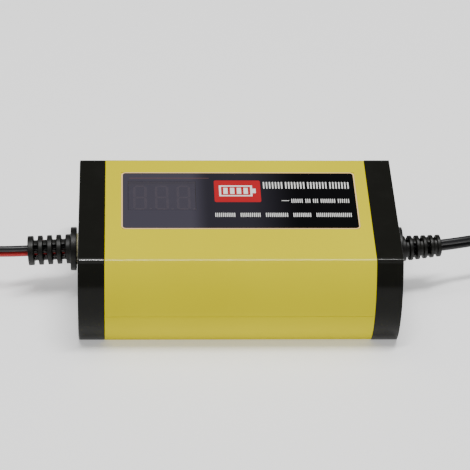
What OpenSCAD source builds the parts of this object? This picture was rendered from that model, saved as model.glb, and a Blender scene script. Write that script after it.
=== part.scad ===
// Car battery charger: a two-shell casing between two screwed end caps, with its boards inside,
// a mains lead on the right (+X), and a twin output lead with two spring clips on the left (-X).
// X runs along the casing, -Y is the front, Z is up, and the casing's flat underside is at Z = 0.
// All sizes are in millimetres.

/* [Casing] */
// Length of the casing with both end caps
case_l = 110; // [90:1:140]
// Depth of the casing at the middle of its rounded sides
case_w = 70; // [60:1:90]
// Height of the casing
case_h = 35; // [30:0.5:44]
// How far each rounded side stands out past the flat top's edge
side_bulge = 6; // [4:0.5:9]
// Wall of the shells and of the end caps' skirts
wall = 2.2; // [1.6:0.1:2.8]
// Length of each end cap
cap_l = 9; // [7.5:0.5:12]
// Thickness of an end cap's end plate
cap_plate = 2.5; // [2:0.1:3.5]
// Height of the line where the two shells meet
parting_z = 15; // [13:0.5:18]
// Depth of the tongue that locates one shell in the other
tongue_h = 1.5; // [1:0.1:2.5]
// Thickness of that tongue
tongue_t = 0.9; // [0.6:0.1:1.1]
// How far an end cap's spigot reaches into the shells
spigot_l = 4; // [3:0.5:6]
// Wall of that spigot
spigot_t = 1.5; // [1:0.1:2]

/* [Screws] */
// Shank diameter of the end cap screws and board screws
screw_d = 2.9; // [2.2:0.1:3.2]
// Head diameter of the screws
head_d = 5.2; // [4.2:0.1:5.8]
// Head height of the screws
head_h = 1.7; // [1.2:0.1:2]
// Length of an end cap screw's shank
cap_screw_l = 15; // [12:0.5:16]
// Length of a board screw's shank
board_screw_l = 5.4; // [4:0.1:5.6]
// Diameter of the screw pillars
boss_d = 6.4; // [5.6:0.1:7]
// Distance of the end cap screws from the middle plane
cap_screw_y = 21.5; // [18:0.5:24]
// Length of the screw pillars in the shells
boss_l = 9; // [8:0.5:10]

/* [Label and display] */
// Length of the label film
label_l = 82; // [60:0.1:84]
// Depth of the label film
label_w = 33.2; // [26:0.1:34]
// Thickness of the label film
label_t = 0.3; // [0.2:0.05:0.5]
// Place of the label's middle along the casing
label_x = 0.75; // [-1:0.05:1]
// Place of the label's middle across the casing
label_y = 4.7; // [3:0.1:7]
// Length of the three-digit display block
display_l = 22.8; // [20:0.1:24]
// Depth of the display block
display_w = 16.4; // [14:0.1:18]
// Height of the display block
display_h = 6.6; // [5:0.1:7]
// Place of the display's middle along the casing
display_x = -26.2; // [-27:0.1:-24]
// Place of the display's middle across the casing
display_y = 7.5; // [6:0.1:9]
// Thickness of the smoked display window
lens_t = 1.2; // [0.8:0.1:1.4]

/* [Boards] */
// Length of the main board
board_l = 70; // [66:1:72]
// Depth of the main board
board_w = 56; // [54:1:58]
// Thickness of both boards
board_t = 1.6; // [1:0.1:2]
// Height of the pillars under the main board
standoff_h = 5.2; // [4.6:0.1:6]

/* [Strain reliefs] */
// Diameter of a strain relief's outer flange
flange_d = 15.2; // [13:0.1:16]
// Thickness of that flange
flange_t = 2.1; // [1.6:0.1:2.6]
// Diameter of the ribs
rib_d = 10.3; // [9:0.1:11]
// Diameter of the tube that carries the ribs
relief_core_d = 7.2; // [6.8:0.1:7.6]
// Distance from one rib to the next
rib_pitch = 3.2; // [2.8:0.1:3.6]
// Thickness of a rib
rib_t = 1.6; // [1.2:0.1:1.8]
// Diameter of the hole in the end cap
gland_hole_d = 8.4; // [8:0.1:9.4]
// Thickness of the collar between the end cap and the flange
collar_t = 0.8; // [0.5:0.1:1.2]
// Diameter of that collar
collar_d = 10.8; // [10:0.1:12]
// How far the mains strain relief turns towards the back, in degrees
ac_relief_turn = 7.5; // [0:0.5:14]
// How far the output relief and its lead hang down, in degrees
dc_relief_dip = 3.5; // [0:0.5:6]
// Diameter of the mains relief's first rib
ac_rib_d = 9; // [8.4:0.1:10]
// Diameter of its last rib
ac_end_rib_d = 7.8; // [7.4:0.1:9]
// Diameter of its sleeve between the ribs
ac_relief_core_d = 6.8; // [6.6:0.1:7.2]
// Distance from rib to rib
ac_rib_pitch = 2.5; // [2.3:0.1:3]
// Thickness of a rib
ac_rib_t = 1.2; // [1:0.1:1.5]
// Number of ribs
ac_rib_count = 6; // [4:1:7]
// How much of its front the windows are turned up by, in degrees
window_roll = 25; // [0:1:40]

/* [Leads] */
// Width of the twin output lead, two cores side by side
dc_lead_d = 4.4; // [4:0.1:4.6]
// Diameter of one core of the output lead
core_d = 2.2; // [2:0.1:2.3]
// Width of the flat mains lead
ac_lead_d = 4.7; // [4.2:0.1:4.9]
// Radius of the output lead's coil at the middle of its turns
dc_coil_r = 23; // [22:0.5:26]
// Radius of the mains lead's coil at the middle of its turns
ac_coil_r = 25; // [24:0.5:28]
// Thickness of the ties round the coils
tie_t = 0.9; // [0.6:0.1:1]
// Width of those ties
tie_w = 5; // [3:0.5:8]

/* [Spring clips] */
// Width of a clip's outer jaw channel, across its pin
clip_w = 9; // [7.6:0.1:9.4]
// Thickness of the clip's sheet steel
sheet_t = 0.8; // [0.6:0.1:1]
// Radius of the ears round the clip's pin
ear_r = 3.3; // [3:0.1:3.6]
// Radius of the clip's pin
pin_r = 1.3; // [1.1:0.05:1.5]
// Length from the pin to the tip of the jaws
jaw_reach = 26; // [24:0.5:27]
// Length from the pin to the end of a steel handle
handle_reach = 22; // [20:0.5:23]
// Thickness of the plastic grips
grip_t = 1; // [0.7:0.1:1.2]

/* [Plug] */
// Length of the plug's body
plug_l = 36; // [34:0.5:38]
// Width of the plug's body at the pins
plug_w = 35; // [33:0.5:36]
// Thickness of the plug's body
plug_h = 13.6; // [13:0.1:14]
// Diameter of the plug's pins
plug_pin_d = 4; // [3.8:0.1:4.2]
// Length of the plug's pins
plug_pin_l = 19; // [17:0.5:19]
// Distance between the plug's pins
plug_pin_gap = 18.6; // [18:0.1:19]

/* [Hidden] */
$fn = 48;
over = 0.02;              // how far a cut runs past a face
fit = 0.15;               // gap between moulded pieces that locate in each other
bore_fit = 0.02;          // gap round a screw's shank in its pillar
side_r = (side_bulge * side_bulge + case_h * case_h / 4) / (2 * side_bulge);
side_c = case_w / 2 - side_r;
shell_l = case_l - 2 * cap_l;
mid_z = case_h / 2;
roof_z = case_h - wall;
boss_z = wall + boss_d / 2 - 0.4;
board_z = wall + standoff_h;
board_top = board_z + board_t;
board_screw_x = board_l / 2 - 4;
board_screw_y = board_w / 2 - 4;
lens_l = display_l + 0.6;
lens_w = display_w + 0.6;
label_top = case_h + 0.05;
display_top = label_top - lens_t - 0.4;
display_board_z = display_top - display_h - board_t;
display_board_l = 34;
display_board_w = 31;
display_board_x = display_x + 3.5;
display_board_y = display_y - 1;
// Screws of the display board, from its middle: one at each of two opposite corners
display_screws = [[-display_board_l / 2 + 3.5, -display_board_w / 2 + 3.2],
    [display_board_l / 2 - 3.5, display_board_w / 2 - 3.2]];
relief_pivot = case_l / 2 + collar_t + flange_t;
rib_count = 5;
relief_l = rib_pitch * rib_count - 1.2;
ac_relief_l = ac_rib_pitch * ac_rib_count - 1.2;
dc_ribs = [rib_d, rib_d, relief_core_d, rib_pitch, rib_t, rib_count, relief_l];
ac_ribs = [ac_rib_d, ac_end_rib_d, ac_relief_core_d, ac_rib_pitch, ac_rib_t, ac_rib_count, ac_relief_l];
slack = 0.35;             // gap round a lead in its strain relief
// Centre of the output lead's coil, and of the mains lead's coil
dc_coil_c = [-130, 0];
ac_coil_c = [128, 0];
coil_z = tie_t + 0.1;     // the coils lie on their ties
clip_z = coil_z + 2 * dc_lead_d + 1.2 + clip_w / 2 + grip_t;
plug_z = coil_z + 2 * ac_lead_d + 0.5 + plug_h / 2;
plug_y = -13;
plug_back = 146;
// Output lead from inside the end cap to its coil's upper outer turn
dc_run = [[-50, 0, 17.5], [-58, 0, 17.5], [-66, 0, 17], [-73, 0, 16.6], [-80, 0, 16.3],
    [-86.5, 0.7, 15.9], [-93, 3.9, 14.5], [-98.5, 9.2, 12.4], [-103.5, 15.2, 10.3],
    [-109, 21, 8.9], [-115.6, 25.8, 8.2], [-123, 28.2, 7.8], [-130, 27.4, 7.6]];
// Output lead from its coil's lower outer turn to the split
dc_end = [[-130, 27.4, 3.2], [-138, 28.6, 3.2], [-146, 28.4, 3.4], [-152, 27, 3.9]];
// Cores from the split to the clips' fixed handles, by colour
red_route = [[-157.5, 25.8, 5.3], [-164, 23.4, 6.8], [-169.5, 18.4, 9.2], [-170.5, 12, 12.2],
    [-166.5, 7, 15], [-160, 5.3, 16.3], [-154, 5.3, 16.5]];
black_route = [[-157.5, 25.2, 3.1], [-165, 22.6, 4.4], [-171.5, 17, 6.8], [-174.5, 8.5, 9.8],
    [-172.5, 0.4, 12.9], [-167, -4.4, 15.4], [-160, -5.3, 16.4], [-154, -5.3, 16.5]];
// Mains lead from inside the end cap to its coil's upper outer turn
ac_run = [[50, 0, 17.5], [55, 0, 17.5], [58.5, 0.1, 17.5], [65, 0.95, 17.5], [72.5, 2.05, 17.5],
    [80, 3.7, 17.5], [87, 6, 17.2], [93.5, 10, 16.2], [99.2, 15.6, 14.6],
    [105, 21.2, 12.4], [112, 26.4, 10.2], [120, 29.4, 8.6], [128, 29.7, 8.1]];
// Mains lead from its coil's lower outer turn round to the plug's back
ac_tail = [[128, 29.7, 3.4], [136, 31, 3.4], [144, 31, 3.6], [151.5, 28.8, 4.6],
    [158, 24.2, 6.2], [163, 17.6, 8.4], [165.5, 9.6, 11], [165, 1.4, 13.6],
    [161.5, -6, 16], [155.5, -11.4, 17.5], [149, -13, 17.7]];

yellow = "gold";
black = [0.12, 0.12, 0.12];
steel = "silver";
copper = [0.8, 0.45, 0.2];
board_green = [0.1, 0.4, 0.2];

function unit(v) = v / norm(v);
function ahead(p, i) = unit(p[min(i + 1, len(p) - 1)] - p[max(i - 1, 0)]);
function across(t) = unit(cross([0, 0, 1], t));
function ring_at(p, i, r, n) =
    let (t = ahead(p, i), a = across(t), b = cross(t, a))
    [for (k = [0 : n - 1]) p[i] + r * (cos(360 * k / n) * a + sin(360 * k / n) * b)];

// A round tube swept along a list of points, with one ring of n corners at each point
module tube(p, r, n = 8) {
    last = (len(p) - 1) * n;
    sides = [for (i = [0 : len(p) - 2]) for (k = [0 : n - 1])
        [i * n + k, (i + 1) * n + k, (i + 1) * n + (k + 1) % n, i * n + (k + 1) % n]];
    caps = [[for (k = [0 : n - 1]) k], [for (k = [n - 1 : -1 : 0]) last + k]];
    polyhedron([for (i = [0 : len(p) - 1]) each ring_at(p, i, r, n)], concat(caps, sides), 3);
}

// The casing's outline across X, set in by a wall
module section(inset = 0) {
    intersection() {
        square([case_w, case_h - 2 * inset], center = true);
        union() {
            for (s = [-1, 1]) translate([s * side_c, 0]) circle(r = side_r - inset, $fn = 128);
            square([2 * abs(side_c) + 2, case_h], center = true);
        }
    }
}

// Extrudes an outline along X, from x for a length l, at the casing's mid-height
module along(x, l) {
    translate([x, 0, mid_z]) rotate([90, 0, 90]) linear_extrude(l) children();
}

module rod_x(x, y, z, d, l) {
    translate([x, y, z]) rotate([0, 90, 0]) cylinder(d = d, h = l);
}

module block(x, y, z, size) {
    translate([x - size[0] / 2, y - size[1] / 2, z]) cube(size);
}

// The band of the wall that the shells' tongue takes up
module tongue_band(gap = 0) {
    difference() {
        section(wall - tongue_t - gap);
        section(wall);
    }
}

module shell_tube() {
    along(-shell_l / 2, shell_l) difference() {
        section();
        section(wall);
    }
}

module slab(z0, z1, l = case_l) {
    translate([-l / 2, -case_w, z0]) cube([l, 2 * case_w, z1 - z0]);
}

// Four screw pillars at one height, two at each end of a shell
module end_pillars(z) {
    for (s = [-1, 1]) for (y = [-1, 1])
        rod_x(s > 0 ? shell_l / 2 - boss_l : -shell_l / 2, y * cap_screw_y, z, boss_d, boss_l);
}

module end_pilots(z) {
    for (s = [-1, 1]) for (y = [-1, 1])
        rod_x(s > 0 ? shell_l / 2 - boss_l - over : -shell_l / 2 - over, y * cap_screw_y, z,
            screw_d + 2 * bore_fit, boss_l + 2 * over);
}

module upper_shell() {
    color(yellow) difference() {
        union() {
            intersection() {
                shell_tube();
                slab(parting_z, case_h);
            }
            intersection() {
                end_pillars(case_h - boss_z);
                along(-shell_l / 2, shell_l) section(wall / 2);
            }
            for (p = display_screws)
                translate([display_board_x + p[0], display_board_y + p[1], display_board_z + board_t])
                    cylinder(d = boss_d - 1, h = roof_z - display_board_z - board_t + over);
        }
        intersection() {
            along(-shell_l / 2 - over, shell_l + 2 * over) tongue_band(fit);
            slab(parting_z - over, parting_z + tongue_h + fit);
        }
        block(label_x, label_y, label_top - label_t, [label_l + 0.2, label_w + 0.2, label_t]);
        block(display_x, display_y, roof_z - over, [lens_l + fit, lens_w + fit, wall + 2 * over]);
        end_pilots(case_h - boss_z);
        for (p = display_screws)
            translate([display_board_x + p[0], display_board_y + p[1], display_board_z])
                cylinder(d = screw_d + 2 * bore_fit, h = board_screw_l + 0.3);
    }
}

module lower_shell() {
    color(yellow) difference() {
        union() {
            intersection() {
                shell_tube();
                slab(0, parting_z);
            }
            intersection() {
                along(-shell_l / 2, shell_l) tongue_band();
                slab(parting_z - 1, parting_z + tongue_h);
            }
            intersection() {
                end_pillars(boss_z);
                along(-shell_l / 2, shell_l) section(wall / 2);
            }
            for (s = [-1, 1]) for (y = [-1, 1])
                translate([s * board_screw_x, y * board_screw_y, wall - over])
                    cylinder(d = boss_d, h = standoff_h + over);
        }
        end_pilots(boss_z);
        for (s = [-1, 1]) for (y = [-1, 1])
            translate([s * board_screw_x, y * board_screw_y, board_top - board_screw_l - 0.3])
                cylinder(d = screw_d + 2 * bore_fit, h = board_screw_l);
    }
}

// The right-hand end cap; the left-hand one is its mirror image
module end_cap() {
    plate_x = case_l / 2 - cap_plate;
    inner = wall + fit + spigot_t;
    color(black) difference() {
        union() {
            difference() {
                union() {
                    along(shell_l / 2, cap_l) section();
                    along(shell_l / 2 - spigot_l, spigot_l + over) section(wall + fit);
                }
                along(shell_l / 2 - spigot_l - over, plate_x - shell_l / 2 + spigot_l + over)
                    section(inner);
                for (y = [-1, 1]) for (z = [boss_z, case_h - boss_z])
                    rod_x(shell_l / 2 - spigot_l - over, y * cap_screw_y, z,
                        boss_d + 2 * fit, spigot_l + over);
            }
            intersection() {
                for (y = [-1, 1]) for (z = [boss_z, case_h - boss_z])
                    rod_x(shell_l / 2 + fit, y * cap_screw_y, z, boss_d, cap_l - 1);
                along(shell_l / 2, cap_l - 1) section(wall / 2);
            }
        }
        for (y = [-1, 1]) for (z = [boss_z, case_h - boss_z]) {
            rod_x(shell_l / 2 - over, y * cap_screw_y, z, screw_d + 0.3, cap_l + 1);
            rod_x(case_l / 2 - head_h - 0.2, y * cap_screw_y, z, head_d + 0.4, head_h + 1);
        }
        rod_x(plate_x - 1, 0, mid_z, gland_hole_d, cap_plate + 2);
    }
}

module ac_end_cap() {
    end_cap();
}

module dc_end_cap() {
    mirror([1, 0, 0]) end_cap();
}

// A pan-head screw whose head's underside is at the origin and whose shank points down
module screw(l) {
    difference() {
        union() {
            translate([0, 0, -l]) cylinder(d = screw_d, h = l + over);
            cylinder(d = head_d, h = head_h);
        }
        for (a = [0, 90]) rotate([0, 0, a]) translate([-1.4, -0.35, head_h - 0.9]) cube([2.8, 0.7, 1]);
    }
}

module end_cap_screws() {
    color(steel) for (s = [-1, 1]) for (y = [-1, 1]) for (z = [boss_z, case_h - boss_z])
        translate([s * (case_l / 2 - head_h - 0.2), y * cap_screw_y, z]) rotate([0, s * 90, 0])
            screw(cap_screw_l);
}

module board_screws() {
    color(steel) {
        for (s = [-1, 1]) for (y = [-1, 1])
            translate([s * board_screw_x, y * board_screw_y, board_top]) screw(board_screw_l);
        for (p = display_screws)
            translate([display_board_x + p[0], display_board_y + p[1], display_board_z])
                mirror([0, 0, 1]) screw(board_screw_l);
    }
}

module label_overlay() {
    color([0.05, 0.05, 0.06]) difference() {
        block(label_x, label_y, label_top - label_t, [label_l, label_w, label_t]);
        block(display_x, display_y, label_top - label_t - over, [lens_l + fit, lens_w + fit, 1]);
    }
}

module display_lens() {
    color([0.2, 0.15, 0.18]) block(display_x, display_y, label_top - lens_t, [lens_l, lens_w, lens_t]);
}

// The display block, with its figures' segments sunk a little into its face
module led_display() {
    digit_h = 14.8;
    digit_w = 4.8;
    bar = 1.1;
    color([0.25, 0.25, 0.27]) difference() {
        block(display_x, display_y, display_board_z + board_t, [display_l, display_w, display_h]);
        for (i = [-1 : 1]) translate([display_x + i * 7.6, display_y, display_top - 0.3]) {
            for (k = [-1 : 1]) block(0, k * (digit_h - bar) / 2, 0, [digit_w - 2.4 * bar, bar, 1]);
            for (k = [-1, 1]) for (m = [-1, 1])
                block(m * (digit_w - bar) / 2, k * digit_h / 4, 0, [bar, digit_h / 2 - bar, 1]);
        }
    }
}

module display_board() {
    color(board_green) difference() {
        block(display_board_x, display_board_y, display_board_z,
            [display_board_l, display_board_w, board_t]);
        for (p = display_screws)
            translate([display_board_x + p[0], display_board_y + p[1], display_board_z - 1])
                cylinder(d = screw_d + 0.3, h = board_t + 2);
    }
}

// The ribbon bends in a half ring from the display board down to its socket on the main board
socket_h = 4;
socket_y = -5;
ribbon_x = -17;
module display_ribbon() {
    low = board_top + socket_h;
    r = (display_board_z - low) / 2;
    color("lightgray") translate([ribbon_x - 3.5, socket_y, low + r]) rotate([90, 0, 90])
        linear_extrude(7) difference() {
            circle(r = r, $fn = 64);
            circle(r = r - 0.9, $fn = 64);
            translate([0, -r - 1]) square([r + 1, 2 * r + 2]);
        }
}

module ribbon_socket() {
    color("ivory") difference() {
        block(ribbon_x, socket_y + 1, board_top, [9, 5.5, socket_h]);
        block(ribbon_x, socket_y + 2.2, board_top + 1.5, [7, 2.2, socket_h]);
    }
}

module main_board() {
    color(board_green) difference() {
        block(0, 0, board_z, [board_l, board_w, board_t]);
        for (s = [-1, 1]) for (y = [-1, 1])
            translate([s * board_screw_x, y * board_screw_y, board_z - 1])
                cylinder(d = screw_d + 0.3, h = board_t + 2);
    }
}

// Transformer: an E core in two halves round a bobbin, wound on its middle leg, legs along Y
core_l = 24;
core_w = 18;
core_t = 7;
leg_t = 5;
core_z = 12;
core_x = 5;
core_y = -3;
module transformer_core() {
    leg = (core_w - 2 * leg_t) / 2;
    color([0.2, 0.2, 0.22]) for (s = [-1, 1]) translate([core_x, core_y, core_z + 1.5])
        difference() {
            translate([s > 0 ? 0.05 : -core_l / 2, -core_w / 2, 0]) cube([core_l / 2 - 0.05, core_w, core_t]);
            for (k = [-1, 1])
                translate([-core_l / 2 + 4, k * (leg_t / 2 + leg / 2) - leg / 2, -1])
                    cube([core_l - 8, leg, core_t + 2]);
        }
}

module transformer_bobbin() {
    inner_l = core_l - 8 - 0.4;
    color([0.15, 0.15, 0.15]) translate([core_x, core_y, core_z + 1.5 + core_t / 2]) {
        difference() {
            union() {
                cube([inner_l, leg_t + 1.6, core_t + 1.6], center = true);
                for (s = [-1, 1]) translate([s * (inner_l / 2 - 0.4), 0, 0])
                    cube([0.8, core_w - 2 * leg_t + leg_t - 0.6, core_t + 6.4], center = true);
            }
            cube([core_l, leg_t + 0.2, core_t + 0.2], center = true);
        }
        for (s = [-1, 1]) for (k = [-1 : 1])
            translate([s * (inner_l / 2 - 0.4) - 0.4, k * 3 - 0.4, -core_z - 1.5 - core_t / 2 + board_top])
                cube([0.8, 0.8, core_z + 1.5 - board_top - 3.1]);
    }
}

module transformer_winding() {
    inner_l = core_l - 8 - 0.4;
    color(copper) translate([core_x, core_y, core_z + 1.5 + core_t / 2]) difference() {
        cube([inner_l - 1.8, leg_t + 3.6, core_t + 5.6], center = true);
        cube([core_l, leg_t + 1.7, core_t + 1.7], center = true);
    }
}

// A can standing on the main board, with a scored top
module can(x, y, d, h) {
    translate([x, y, board_top]) difference() {
        cylinder(d = d, h = h);
        for (a = [0, 90]) rotate([0, 0, a]) translate([-d * 0.3, -0.2, h - 0.3]) cube([d * 0.6, 0.4, 1]);
    }
}

module input_capacitor() {
    color([0.15, 0.15, 0.2]) can(11, 18, 15, 18);
}

module output_capacitors() {
    color([0.1, 0.15, 0.3]) for (y = [-14.5, -3]) can(-28, y, 10, 13);
}

// A finned plate that stands on the main board along X
module heat_sink(l, h, fins) {
    cube([l, 2, h]);
    for (i = [0 : fins - 1]) translate([i * (l - 1) / (fins - 1), 2 - over, 2]) cube([1, 2.5, h - 2]);
}

module primary_heat_sink() {
    color("lightgray") translate([-6, -23.5, board_top]) difference() {
        mirror([0, 1, 0]) translate([0, -4.5, 0]) heat_sink(24, 16, 7);
        translate([10, 2, 12]) rotate([-90, 0, 0]) cylinder(d = screw_d, h = 4);
    }
}

// A power package: body, metal tab with its hole, and three legs; the tab's back is at Y = 0
module power_package() {
    difference() {
        union() {
            translate([-5, -1.3, 0]) cube([10, 1.3, 12]);
            translate([-5, -4.4, 0]) cube([10, 3.2, 8.6]);
        }
        translate([0, 1, 10.3]) rotate([90, 0, 0]) cylinder(d = 3, h = 4);
    }
    for (i = [-1 : 1]) translate([i * 2.5 - 0.4, -2.6, -2.6]) cube([0.8, 0.5, 2.7]);
}

module mosfet() {
    color([0.1, 0.1, 0.1]) translate([4, -19 + 0.05, board_top + 2.6]) rotate([0, 0, 180])
        power_package();
}

module secondary_heat_sink() {
    color("lightgray") translate([-20, 6, board_top]) rotate([0, 0, 90]) mirror([0, 1, 0])
        heat_sink(18, 13, 5);
}

module rectifier_diode() {
    color([0.1, 0.1, 0.1]) translate([-20 - 0.05, 15, board_top + 2.6]) rotate([0, 0, -90])
        power_package();
}

module bridge_rectifier() {
    color([0.1, 0.1, 0.1]) {
        block(22, -16, board_top + 3, [3.5, 14, 10]);
        for (i = [0 : 3]) block(22, -21.5 + i * 3.7, board_top, [0.6, 0.9, 3.1]);
    }
}

module fuse() {
    color("tan") translate([30.7, 11, board_top]) cylinder(d = 8, h = 8);
}

// The mains choke stands on its edge, with its axis along X
choke_z = 8.4;
module choke_core() {
    color([0.1, 0.3, 0.2]) translate([22.5, 12, board_top + choke_z]) rotate([0, 90, 0])
        difference() {
            cylinder(d = 14, h = 5, center = true);
            cylinder(d = 8, h = 6, center = true);
        }
}

module choke_windings() {
    color(copper) translate([22.5, 12, board_top + choke_z]) rotate([0, 90, 0])
        for (s = [-1, 1]) intersection() {
            difference() {
                cylinder(d = 16.4, h = 7.4, center = true);
                cylinder(d = 5.6, h = 8, center = true);
                difference() {
                    cylinder(d = 14.1, h = 5.1, center = true);
                    cylinder(d = 7.9, h = 6, center = true);
                }
            }
            translate([-10, s > 0 ? 1.5 : -11.5, -5]) cube([20, 10, 10]);
        }
}

module x_capacitor() {
    color("khaki") block(22.5, -3.2, board_top, [5.5, 9, 10]);
}

// A flat dual-in-line package on its legs
module dip(l, w, pairs) {
    translate([-l / 2, -w / 2, 0.6]) cube([l, w, 3]);
    for (i = [0 : pairs - 1]) for (s = [-1, 1])
        translate([(i - (pairs - 1) / 2) * 2.54 - 0.3, s > 0 ? w / 2 - over : -w / 2 - 0.6 + over, 0])
            cube([0.6, 0.6, 2]);
}

module controller_ic() {
    color([0.08, 0.08, 0.08]) translate([-14, -20, board_top]) dip(9.6, 6.2, 4);
}

module optocoupler() {
    color([0.85, 0.85, 0.8]) translate([-13, 7, board_top]) dip(4.6, 6.2, 2);
}

module thermistor() {
    color([0.1, 0.25, 0.15]) {
        translate([30, 0, board_top + 7.5]) rotate([0, 90, 0]) cylinder(d = 9, h = 3, center = true);
        for (s = [-1, 1]) translate([30, s * 2.5, board_top]) cylinder(d = 0.8, h = 4.4, $fn = 24);
    }
}

wire_end_z = 0.25;         // a slanting wire end's middle above the board
module mains_inner_wires() {
    color([0.15, 0.15, 0.15]) for (s = [-1, 1])
        tube([[50, 0, mid_z + s * 1.2], [46, -1, mid_z + s * 1.2], [41, -4 + s, 16.4 + s],
            [36.5, -9 + 1.6 * s, 14.8], [33, -12 + 2.5 * s, 12],
            [32.6, -12.4 + 2.6 * s, board_top + wire_end_z]], 0.9);
}

module output_inner_wires() {
    for (s = [-1, 1]) color(s > 0 ? black : [0.8, 0.1, 0.1])
        tube([[-50, 0, mid_z + s * 1.15], [-46, 1, mid_z + s * 1.15], [-41, 4 - s, 16.2 + s],
            [-36.5, 8 - 1.4 * s, 14.6], [-33, 9.5 - 2.4 * s, 12],
            [-32.6, 9.6 - 2.5 * s, board_top + wire_end_z]], 1);
}

// A strain relief's ribs are listed as first and last diameter, sleeve diameter, pitch, thickness, count and
// whole length. The output side has two windows one above the other in each gap, in front and behind, with a
// thin spine between them.
module paired_windows(r) {
    for (i = [0 : r[5] - 2]) for (s = [-1, 1])
        translate([r[4] + i * r[3] + 0.25, -r[0], s > 0 ? 0.4 : -2.3])
            cube([r[3] - r[4] - 0.4, 2 * r[0], 1.9]);
}

// Mains side: one wide window through each gap, turned a quarter round from gap to gap
module crossed_windows(r) {
    for (i = [0 : r[5] - 2]) rotate([90 * (i % 2), 0, 0])
        translate([r[4] + i * r[3] + 0.15, -2, -r[0]]) cube([r[3] - r[4] - 0.3, 4, 2 * r[0]]);
}

// The ribbed sleeve of a strain relief, solid, from inside its flange outwards along X
module relief_sleeve(r) {
    root = flange_t / 2;
    rotate([0, 90, 0]) {
        translate([0, 0, -root]) cylinder(d = r[2], h = r[6] + root);
        for (i = [0 : r[5] - 1])
            translate([0, 0, i == 0 ? -root : i * r[3]])
                cylinder(d = r[0] + (r[1] - r[0]) * i / (r[5] - 1),
                    h = i == 0 ? r[4] + root : i == r[5] - 1 ? r[6] - i * r[3] : r[4]);
    }
}

// A whole strain relief on the right-hand end: inner lip, neck in the hole, flange and sleeve.
// Its windows are given as a child.
module strain_relief(r, lead_d, turn, dip) {
    inner = case_l / 2 - cap_plate;
    bore_d = lead_d + 2 * slack;
    color(black) difference() {
        union() {
            rod_x(inner - 1.6 - fit, 0, mid_z, gland_hole_d + 2, 1.6);
            rod_x(inner - 1, 0, mid_z, gland_hole_d - 0.2, cap_plate + collar_t + 1.2);
            rod_x(case_l / 2 + collar_t, 0, mid_z, flange_d, flange_t);
            translate([relief_pivot, 0, mid_z]) rotate([0, dip, turn]) relief_sleeve(r);
        }
        rod_x(inner - 3, 0, mid_z, bore_d, relief_pivot - inner + 3);
        translate([relief_pivot, 0, mid_z]) rotate([0, dip, turn]) {
            translate([-0.6, 0, 0]) rotate([0, 90, 0]) cylinder(d = bore_d, h = r[6] + 2);
            children();
        }
    }
}

module ac_strain_relief() {
    strain_relief(ac_ribs, ac_lead_d, ac_relief_turn, 0) rotate([-window_roll, 0, 0])
        crossed_windows(ac_ribs);
}

module dc_strain_relief() {
    mirror([1, 0, 0]) strain_relief(dc_ribs, dc_lead_d, 0, dc_relief_dip) rotate([-window_roll, 0, 0])
        paired_windows(dc_ribs);
}

module gland_collars() {
    color([0.95, 0.9, 0.6]) for (s = [-1, 1]) translate([s * (case_l / 2 + collar_t / 2), 0, mid_z])
        rotate([0, 90, 0]) difference() {
            cylinder(d = collar_d, h = collar_t - 0.04, center = true);
            cylinder(d = gland_hole_d, h = collar_t + 1, center = true);
        }
}

// A coil's outer shape: two turns wide and two turns high
module coil(c, r, d) {
    translate([c[0], c[1], coil_z]) rotate_extrude($fn = 96) translate([r, 0]) union() {
        translate([-d, d / 2]) square([2 * d, d]);
        translate([-d / 2, 0]) square([d, 2 * d]);
        for (s = [-1, 1]) for (k = [1, 3]) translate([s * d / 2, k * d / 2]) circle(d = d, $fn = 32);
    }
}

// A strap round a coil's turns, at an angle round the coil
module tie(c, r, d, angle) {
    translate([c[0], c[1], coil_z + d]) rotate([0, 0, angle]) translate([r, 0, 0])
        difference() {
            cube([2 * d + 2 * tie_t + 0.1, tie_w, 2 * d + 2 * tie_t], center = true);
            cube([2 * d + 0.4, tie_w + 1, 2 * d + 0.1], center = true);
        }
}

module dc_lead_run() {
    color(black) tube(dc_run, dc_lead_d / 2);
}

module dc_lead_coil() {
    color([0.5, 0.1, 0.1]) coil(dc_coil_c, dc_coil_r, dc_lead_d);
}

module dc_lead_end() {
    color([0.5, 0.1, 0.1]) tube(dc_end, dc_lead_d / 2);
}

module dc_lead_tie() {
    color(black) tie(dc_coil_c, dc_coil_r, dc_lead_d, 270);
}

module dc_split_sleeve() {
    color(black) translate([-151, 27.3, 3.9])
        rotate([0, 0, 14]) rotate([0, -90, 0]) cylinder(d = 6.4, h = 8);
}

module red_tail() {
    color([0.8, 0.1, 0.1]) tube(red_route, core_d / 2);
}

module black_tail() {
    color(black) tube(black_route, core_d / 2);
}

module ac_lead_run() {
    color(black) tube(ac_run, ac_lead_d / 2);
}

module ac_lead_coil() {
    color(black) coil(ac_coil_c, ac_coil_r, ac_lead_d);
}

module ac_lead_tie() {
    color(black) tie(ac_coil_c, ac_coil_r, ac_lead_d, 180);
}

module ac_lead_tail() {
    color(black) tube(ac_tail, ac_lead_d / 2);
}

// Two-pin plug lying flat, pins towards -X, narrower at its back where the lead enters
pin_root_d = 3;           // the thinner part of a pin, inside the plug
pin_root_l = 6;
module plug_body() {
    color(black) translate([plug_back, plug_y, plug_z]) rotate([180, 0, 180])
        difference() {
            union() {
                translate([0, 0, -plug_h / 2]) linear_extrude(plug_h) polygon([[0, -6], [10, -8],
                    [plug_l - 9, -plug_w / 2], [plug_l, -plug_w / 2], [plug_l, plug_w / 2],
                    [plug_l - 9, plug_w / 2], [10, 8], [0, 6]]);
                rod_x(-9, 0, 0, 8.4, 9.5);
            }
            rod_x(-10, 0, 0, ac_lead_d + 0.1, 14);
            for (s = [-1, 1])
                rod_x(plug_l - pin_root_l, s * plug_pin_gap / 2, 0, pin_root_d + 0.04, pin_root_l + 1);
        }
}

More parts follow.
